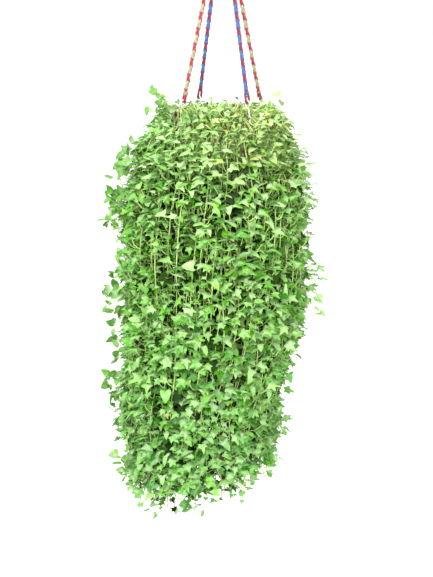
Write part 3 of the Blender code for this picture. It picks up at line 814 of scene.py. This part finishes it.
# At these depths below the lip, as a share of the longest vine: how far left and how far right of the
# pot's middle the stems hang.
CURTAIN_SHARES = (0.0, 0.06, 0.14, 0.30, 0.45, 0.57, 0.70, 0.80, 0.91, 1.0)
CURTAIN_LEFT = np.array((0.152, 0.160, 0.194, 0.208, 0.210, 0.203, 0.218, 0.210, 0.204, 0.214))
CURTAIN_RIGHT = np.array((0.124, 0.142, 0.172, 0.172, 0.173, 0.150, 0.112, 0.106, 0.116, 0.116))
CURTAIN_RADII = (CURTAIN_LEFT + CURTAIN_RIGHT) / 2
CURTAIN_SHIFTS = (CURTAIN_LEFT - CURTAIN_RIGHT) / 2
TRAIL_LONGEST = 0.920
TRAIL_SHORTEST = 0.828
LONGEST_AZIMUTH = 204.0
FRONT_TO_BACK = 0.95  # the curtain's depth as a share of its width
POT_CLEARANCE = 0.010


def trail(azimuth):
    """How far below the lip the longest strand at this azimuth ends."""
    share = 0.5 + 0.5 * math.cos(math.radians(azimuth - LONGEST_AZIMUTH))
    return TRAIL_SHORTEST + (TRAIL_LONGEST - TRAIL_SHORTEST) * share


def curtain_place(azimuth, depth, inset):
    """A point of the curtain at this azimuth round its middle, depth below the lip, and inset."""
    share = depth / TRAIL_LONGEST
    radius = np.interp(share, CURTAIN_SHARES, CURTAIN_RADII) - inset
    shift = np.interp(share, CURTAIN_SHARES, CURTAIN_SHIFTS)
    place = outwards(azimuth) * radius * [1, FRONT_TO_BACK, 1] - [shift, 0, 0]
    reach = np.linalg.norm(place)
    if LIP_Z - depth > POT_BASE_Z - POT_CLEARANCE:
        place = place * max((LIP_RADIUS + POT_CLEARANCE) / reach, 1)
    return place + UP * (LIP_Z - depth)


def from_middle(place):
    """The level step from the curtain's middle to this place, and how far that is inside its face."""
    share = min(max((LIP_Z - place[2]) / TRAIL_LONGEST, 0), 1)
    shift = np.interp(share, CURTAIN_SHARES, CURTAIN_SHIFTS)
    step = (place + [shift, 0, 0]) * [1, 1 / FRONT_TO_BACK, 0]
    return step, np.interp(share, CURTAIN_SHARES, CURTAIN_RADII) - np.linalg.norm(step)


# ---- foliage

LIME = linear(184, 222, 150)
BRIGHT = linear(144, 212, 72)
MID = linear(96, 188, 28)
DEEP = linear(34, 112, 6)
COOL = linear(92, 164, 98)
FRESH = linear(96, 186, 28)
STRAW = linear(200, 208, 112)
YELLOW = linear(186, 178, 76)
BROWN = linear(112, 66, 36)
STEM_GREEN = linear(190, 224, 130)
STEM_OLD = linear(186, 182, 112)

# How a leaf is held: how far its face turns up and out, how much that varies, how its tip points up or
# down, how steeply its petiole rises, and the odds of each kind.
Manner = namedtuple("Manner", "up outward spread drop rise odds")
KINDS = ("ivy", "three_lobed", "arrowhead", "heart", "oval")
UPPER = Manner(1.0, 0.14, 0.27, (-0.7, 0.2), (0.8, 2.2), (0.08, 0.34, 0.44, 0.10, 0.04))
LOWER = Manner(1.0, 0.36, 0.32, (-0.9, 0.1), (0.6, 1.7), (0.46, 0.28, 0.20, 0.06, 0.0))
INNER = Manner(0.5, 1.0, 0.35, (-1.2, -0.2), (0.0, 0.5), (0.3, 0.3, 0.2, 0.2, 0.0))
CROWN = Manner(1.0, 0.20, 0.50, (-0.4, 0.4), (0.5, 1.4), (0.04, 0.36, 0.24, 0.20, 0.16))
JUVENILE = Manner(0.6, 0.1, 0.70, (-0.6, 0.6), (0.2, 0.9), (0.0, 0.20, 0.05, 0.25, 0.50))


def manner_at(place, inset):
    """How leaves are held here: up on the crown and the curtain's upper part, and outwards below."""
    if place[2] > LIP_Z + 0.004:
        return JUVENILE if place[0] < -0.05 else CROWN
    if inset > 0.025:
        return INNER
    return UPPER if LIP_Z - place[2] < 0.42 * TRAIL_LONGEST else LOWER


def dry_share(place):
    """How much of the foliage is dry here: most at the right of the crown, little low down."""
    near = math.exp(-(((place[0] - 0.06) / 0.10) ** 2) - ((place[2] - LIP_Z + 0.01) / 0.09) ** 2)
    return 0.010 + 0.36 * near


def leaf_tint(place, inset, chance):
    """Limes above, cooler greens below, painted shade that darkens the tint deeper inside, and yellow or
    brown where dry.
    """
    share = min(max((LIP_Z - place[2]) / TRAIL_LONGEST, 0), 1)
    # Painted shade: the tint darkens with depth inside the curtain, to 0.07 of itself from 22 mm in.
    painted_shade = 1 - 0.93 * min(max(inset - 0.001, 0) / 0.021, 1)
    dryness = dry_share(place)
    pick = chance.random()
    if pick < dryness * 0.4 or (inset > 0.015 and pick < 0.03):
        return BROWN * chance.uniform(0.4, 1.0) * (0.4 + 0.6 * painted_shade)
    if pick < dryness:
        return YELLOW * chance.uniform(0.75, 1.0) * painted_shade
    fresh = chance.random() ** 0.8 * (1.0 - 0.25 * share)
    stops = (0, 0.16, 0.5, 1)
    tint = np.array([np.interp(fresh, stops, column) for column in zip(DEEP, MID, BRIGHT, LIME)])
    tint = tint + (COOL - tint) * min(max(share - 0.35, 0) * 1.2, 0.65) * chance.random()
    left = min(max((-0.10 - place[0]) / 0.12, 0), 1) * min(max(0.7 - share, 0) * 3, 1)
    tint = tint + (FRESH - tint) * left * chance.uniform(0.3, 1)
    tint = tint + (STRAW - tint) * min((dryness - 0.010) * 4.2, 1) * chance.random()
    return tint * chance.uniform(0.88, 1.12) * painted_shade


def hides_a_hook(place):
    """Whether this place is in the gap that the leaves leave in front of a hook."""
    hooks = [outwards(ROPE_PLACES[name]) * HOOK_HOLE_RADIUS for name in ("front_left", "front_right")]
    in_front = [abs(place[0] - hook[0]) < 0.013 and -0.08 < place[1] - hook[1] < 0.012 for hook in hooks]
    return place[2] > LIP_Z + 0.006 and any(in_front)


class Foliage:
    """One piece's stems, petioles and leaves."""

    def __init__(self, seed):
        self.heap = Heap()
        self.chance = np.random.default_rng(seed)
        self.leaves = {kind: [] for kind in LEAF_KINDS}

    def stem(self, points, start, end, tint, sides=6):
        """A tapering stem."""
        vertices, faces, places = tube(points, np.linspace(start, end, len(points)), sides)
        self.heap.add(vertices, faces, STEM_SLOT, tint, places)

    def leaf(self, root, out, turn, size, tint, manner, dull_and_shaded=False):
        """A leaf on its petiole, which rises outwards from the root and holds the blade to the light."""
        chance = self.chance
        across = unit(np.cross(UP, out)) * turn
        lean, rise = chance.uniform(0.1, 1.1), chance.uniform(*manner.rise)
        reach = size * chance.uniform(0.8, 1.7)
        bend = root + unit(out + across * lean + UP * rise * 0.45) * reach * 0.45
        joint = bend + unit(out * 0.6 + across * lean * 0.7 + UP * rise) * reach * 0.65
        petiole = curve_through([root, bend, joint], reach / 3)
        if hides_a_hook(joint):
            return
        if manner is JUVENILE:
            tint = tint * 0.66
        # Painted shade: the petiole of a leaf inside the curtain is darker.
        painted_shade = 0.3 if dull_and_shaded else 1
        self.stem(petiole, 0.0009, 0.0007, STEM_GREEN * chance.uniform(0.85, 1.1) * painted_shade, 5)
        normal = unit(UP * manner.up + out * manner.outward + chance.normal(0, manner.spread, 3))
        heading = out * chance.uniform(0.0, 1.0) + across * lean * chance.uniform(0.3, 2.0)
        heading = heading + UP * chance.uniform(*manner.drop)
        midrib = unit(heading - normal * np.dot(heading, normal))
        kind = KINDS[chance.choice(len(KINDS), p=manner.odds)]
        curl, droop = chance.uniform(-0.10, 0.65), chance.uniform(-0.05, 0.45)
        # Inside the curtain the leaf takes the dull copy with painted shade.
        slot = DULL_SHADED_SLOT if dull_and_shaded else BRIGHT_SLOT
        self.leaves[kind].append((joint, midrib, normal, size, tint, curl, droop, slot))

    def along(self, points, first, spacing, size, inset, manner, bare=(0, 0)):
        """Leaves by turns on each side of a stem, from this far along it; none on the bare stretch."""
        chance = self.chance
        run = run_along(points)
        turn = 1 if chance.random() < 0.5 else -1
        at = first
        while at < run[-1]:
            if not bare[0] < at < bare[1]:
                place = points_at(points, run, at)
                step, inside = from_middle(place)
                below = LIP_Z - place[2]
                deep = min(max(inset, 0), max(inside, 0)) * min(max(below - 0.02, 0) / 0.10, 1)
                held = manner or manner_at(place, deep)
                grown = min(1, 0.62 + (run[-1] - at) / 0.09) * np.interp(below, (-0.01, 0.06), (0.62, 1))
                own = size * chance.uniform(0.62, 1.22) * grown * (1 + deep * 6)
                tint = leaf_tint(place, deep, chance)
                shrunk = 0.62 if tint[1] < tint[0] else 1  # a brown leaf has dried up
                # A leaf deep inside the curtain is drawn with painted shade.
                self.leaf(place, unit(step), turn, own * shrunk, tint, held, deep > 0.008)
            turn = -turn
            at += spacing * chance.uniform(0.7, 1.25)

    def shoot(self, start, reach, rise, size, manner):
        """A side shoot that arches out of the curtain, with small leaves to its tip."""
        chance = self.chance
        out = unit(from_middle(start)[0])
        side = unit(out + unit(np.cross(UP, out)) * chance.uniform(-0.4, 0.4))
        knee = start + side * reach * 0.5 + UP * (max(rise, 0) * 0.5 + reach * 0.25)
        points = curve_through([start, knee, start + side * reach + UP * rise], 0.006)
        self.stem(points, 0.0010, 0.0006, STEM_GREEN * chance.uniform(0.8, 1.05), 5)
        self.along(points, 0.005, 0.0085, size, 0, manner)
        end = points[-1]
        self.leaf(end, side, 1, size * 0.8, leaf_tint(end, 0, chance), manner or manner_at(end, 0))

    def piece(self, name, materials, node):
        for kind, leaves in self.leaves.items():
            add_leaves(self.heap, kind, leaves, self.chance)
        piece(name, self.heap, materials, node, 70)


# ---- vines

LEAF_SIZE = 0.0208
RUNNERS_PER_VINE = 4
SIDE_SHOOTS_PER_VINE = 6
SHOOTS_PER_TUFT = 7
# How far inside the curtain's face each of a vine's strands hangs, and how far apart its leaves are.
STRANDS = (
    (-0.011, 0.046), (-0.007, 0.038), (-0.003, 0.020), (0.0, 0.017), (0.002, 0.017),
    (0.005, 0.017), (0.009, 0.018), (0.013, 0.019), (0.019, 0.021), (0.028, 0.024),
    (0.040, 0.026), (0.054, 0.028), (0.072, 0.030),
)
# Shoots that stand clear: (azimuth, depth below the lip, reach outwards, rise of the tip).
CLEAR_SHOOTS = (
    (196, -0.036, 0.016, 0.046), (205, -0.044, 0.012, 0.036), (188, -0.020, 0.034, 0.022),
    (332, -0.040, 0.004, 0.028), (345, -0.030, 0.010, 0.020), (180, 0.055, 0.034, 0.014),
    (185, 0.075, 0.052, 0.004), (198, 0.090, 0.044, -0.004), (188, 0.110, 0.050, -0.014),
    (182, 0.165, 0.050, -0.004), (190, 0.195, 0.060, -0.016), (176, 0.215, 0.052, -0.024),
    (186, 0.330, 0.034, -0.020), (188, 0.395, 0.052, -0.020), (183, 0.445, 0.040, -0.034),
    (190, 0.520, 0.040, -0.026), (186, 0.600, 0.044, -0.034), (181, 0.655, 0.040, -0.026),
    (180, 0.740, 0.036, -0.030), (192, 0.815, 0.034, -0.030), (352, 0.030, 0.026, 0.004),
    (358, 0.080, 0.036, 0.006), (350, 0.125, 0.034, -0.008), (4, 0.180, 0.034, -0.016),
    (352, 0.235, 0.028, -0.020), (356, 0.345, 0.058, -0.014), (351, 0.370, 0.048, -0.070),
    (8, 0.520, 0.026, -0.024), (349, 0.690, 0.040, -0.042), (335, 0.740, 0.030, -0.050),
    (300, 0.770, 0.020, -0.050), (262, 0.830, 0.020, -0.048), (232, 0.865, 0.022, -0.036),
)


def trailing_strand(foliage, azimuth, inset, spacing, end):
    """A strand out of the soil, over the lip and down the curtain, with its leaves."""
    chance = foliage.chance
    out = outwards(azimuth)
    root = out * chance.uniform(0.35, 0.80) * SOIL_RADIUS + UP * (SOIL_TOP_Z - 0.012)
    crest = out * 0.100 - RIGHT * 0.022 + UP * (LIP_Z + chance.uniform(0.024, 0.052))
    crest = crest + chance.normal(0, 0.004, 3)
    over = out * (LIP_RADIUS + 0.007) + UP * (LIP_Z + chance.uniform(0.006, 0.014))
    route = [root, (root + crest) / 2 + UP * 0.008, crest, over]
    depth, drift, phase = chance.uniform(0.015, 0.035), chance.uniform(-4, 4), chance.uniform(0, 6)
    bulge = 0.008 if inset < 0.01 else 0.004
    while depth < end:
        sway = 1.6 * math.sin(phase + 11 * depth) + drift * depth / end
        route.append(curtain_place(azimuth + sway, depth, inset + bulge * math.sin(phase * 2 + 17 * depth)))
        depth += chance.uniform(0.05, 0.08)
    points = curve_through(route, 0.011)
    old = STEM_GREEN + (STEM_OLD - STEM_GREEN) * chance.random() * 0.6
    # Painted shade: a stem is darker the further inside the curtain it hangs.
    painted_shade = 1 - 0.8 * min(max(inset, 0) / 0.03, 1)
    foliage.stem(points, 0.0015, 0.0009, old * chance.uniform(0.85, 1.1) * painted_shade)
    bare = chance.uniform(0.15, 0.8) if inset < 0.001 else 0
    foliage.along(points, 0.045, spacing, LEAF_SIZE, inset, None, (bare, bare + 0.09))


def crown_runner(foliage, azimuth):
    """A thin stem that wanders over the crown between the ropes, with small leaves."""
    chance = foliage.chance
    root = outwards(azimuth) * chance.uniform(0.2, 0.7) * SOIL_RADIUS + UP * (SOIL_TOP_Z - 0.010)
    turn = chance.uniform(-55, 55)
    middle = outwards(azimuth + turn * 0.4) * chance.uniform(0.05, 0.09) + UP * LIP_Z
    middle = middle + UP * chance.uniform(0.016, 0.046)
    last = outwards(azimuth + turn) * chance.uniform(0.09, 0.13) + UP * LIP_Z
    last = last + UP * chance.uniform(0.008, 0.034)
    points = curve_through([root, (root + middle) / 2 + UP * 0.008, middle, last], 0.007)
    withered = chance.random() < 0.2 + 0.6 * max(outwards(azimuth)[0] + 0.2, 0)
    tint = (BROWN if chance.random() < 0.5 else STEM_OLD) if withered else STEM_GREEN
    foliage.stem(points, 0.0011, 0.0007, tint * chance.uniform(0.7, 1.1), 5)
    foliage.along(points, 0.02, 0.024 if withered else 0.011, LEAF_SIZE * 0.85, 0, None)


def make_vines(materials):
    """Each vine of the frame becomes a bundle of strands in its wedge of the curtain."""
    for number in range(VINE_COUNT):
        foliage = Foliage(100 + number)
        chance = foliage.chance
        middle = FIRST_VINE_AZIMUTH + VINE_STEP * number
        for strand, (inset, spacing) in enumerate(STRANDS):
            spread = ((strand * 0.618 + 0.3) % 1 - 0.5) * VINE_STEP
            azimuth = middle + spread + chance.uniform(-1.5, 1.5)
            end = trail(azimuth) * chance.uniform(0.975, 1.008) - 0.008 - max(inset, 0) * 0.4
            trailing_strand(foliage, azimuth, inset, spacing, end)
        for _ in range(RUNNERS_PER_VINE):
            crown_runner(foliage, middle + chance.uniform(-8, 8))
        for _ in range(SIDE_SHOOTS_PER_VINE):
            azimuth, depth = middle + chance.uniform(-8, 8), chance.uniform(0.03, 0.9) * trail(middle)
            start = curtain_place(azimuth, depth, 0)
            reach = chance.uniform(0.012, 0.026)
            foliage.shoot(start, reach, chance.uniform(-0.02, 0.01), 0.018, None)
        for azimuth, depth, reach, rise in CLEAR_SHOOTS:
            if abs((azimuth - middle + 180) % 360 - 180) <= VINE_STEP / 2:
                start = curtain_place(azimuth, depth, 0.004)
                if depth < 0:
                    start = start * [0.82, 0.82, 1]
                manner = JUVENILE if start[0] < 0 else None
                size = 0.0255 if manner else 0.0215
                foliage.shoot(start, reach, rise, size, manner)
        name = f"vine_{number + 1:02d}"
        foliage.piece(name + "_foliage", materials, name)


def make_crown_shoots(materials):
    """The young growth in the middle of the pot: a tuft of shoots for each of the frame's."""
    for number in range(1, 7):
        name = f"crown_shoot_{number}"
        low, high = (np.array(corner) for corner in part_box(name))
        foliage = Foliage(300 + number)
        chance = foliage.chance
        middle = (low + high) / 2
        for _ in range(SHOOTS_PER_TUFT):
            spread = chance.normal(0, 0.020, 2)
            root = np.array([middle[0] + spread[0] * 0.6, middle[1] + spread[1] * 0.6, SOIL_TOP_Z - 0.012])
            tip = np.array([middle[0] + spread[0] * 2, middle[1] + spread[1] * 2, 0])
            tip[2] = LIP_Z + chance.uniform(0.018, 0.056)
            points = curve_through([root, (root + tip) / 2 + [0, 0, 0.006], tip], 0.006)
            foliage.stem(points, 0.0011, 0.0006, STEM_GREEN * chance.uniform(0.8, 1.05), 5)
            foliage.along(points, 0.018, 0.012, LEAF_SIZE * 0.85, 0, CROWN)
        foliage.piece(name + "_tuft", materials, name)


# ---- stage

FLOOR_Z = -1.95


def make_stage():
    """A pale floor well below the leaves, a white surround, and soft studio light."""
    white = material_nodes("studio_white").surface(Base_Color=(0.95, 0.95, 0.95, 1), Roughness=0.9)
    bpy.ops.mesh.primitive_plane_add(size=600, location=(0, 0, FLOOR_Z))
    floor = bpy.context.object
    floor.name = "floor"
    floor.data.materials.append(white)

    world = bpy.data.worlds.new("studio")
    bpy.context.scene.world = world
    n = Nodes(world, "OutputWorld")
    # White round the horizon, so that the floor runs into it, and softer overhead.
    height = n.split(n.add("TexCoord").outputs["Generated"])[2]
    fade = n.add("MapRange", Value=height, From_Min=0.27, From_Max=0.55, To_Min=1.0, To_Max=0.4)
    n.finish(n.add("Background", Color=(1.0, 1.0, 1.0, 1), Strength=fade.outputs[0]))

    sun = bpy.data.lights.new("overhead", "SUN")
    sun.energy = 3.0
    sun.angle = math.radians(50)
    add_object("overhead", sun).rotation_euler = (math.radians(-12), math.radians(-8), 0)
    target = Vector((0, 0, -0.85))
    lamps = (("key", (-1.3, -2.6, 1.6), 2.0, 165), ("fill", (2.2, -2.4, 0.3), 2.6, 70))
    for name, place, size, power in lamps:
        light = bpy.data.lights.new(name, "AREA")
        light.size = size
        light.energy = power
        lamp = add_object(name, light)
        lamp.location = place
        lamp.rotation_euler = (target - Vector(place)).to_track_quat("-Z", "Y").to_euler()
    bpy.context.scene.view_settings.view_transform = "Standard"


def main():
    make_camera()
    make_fittings()
    make_pot(plastic_material())
    make_soil([soil_material(), perlite_material()])
    shaded = shaded_leaf_material()
    faces = [leaf_material("leaf_face", False), leaf_material("leaf_underside", True)]
    leaf = [*faces, stem_material(), shaded, shaded]
    make_vines(leaf)
    make_crown_shoots(leaf)
    make_stage()


main()
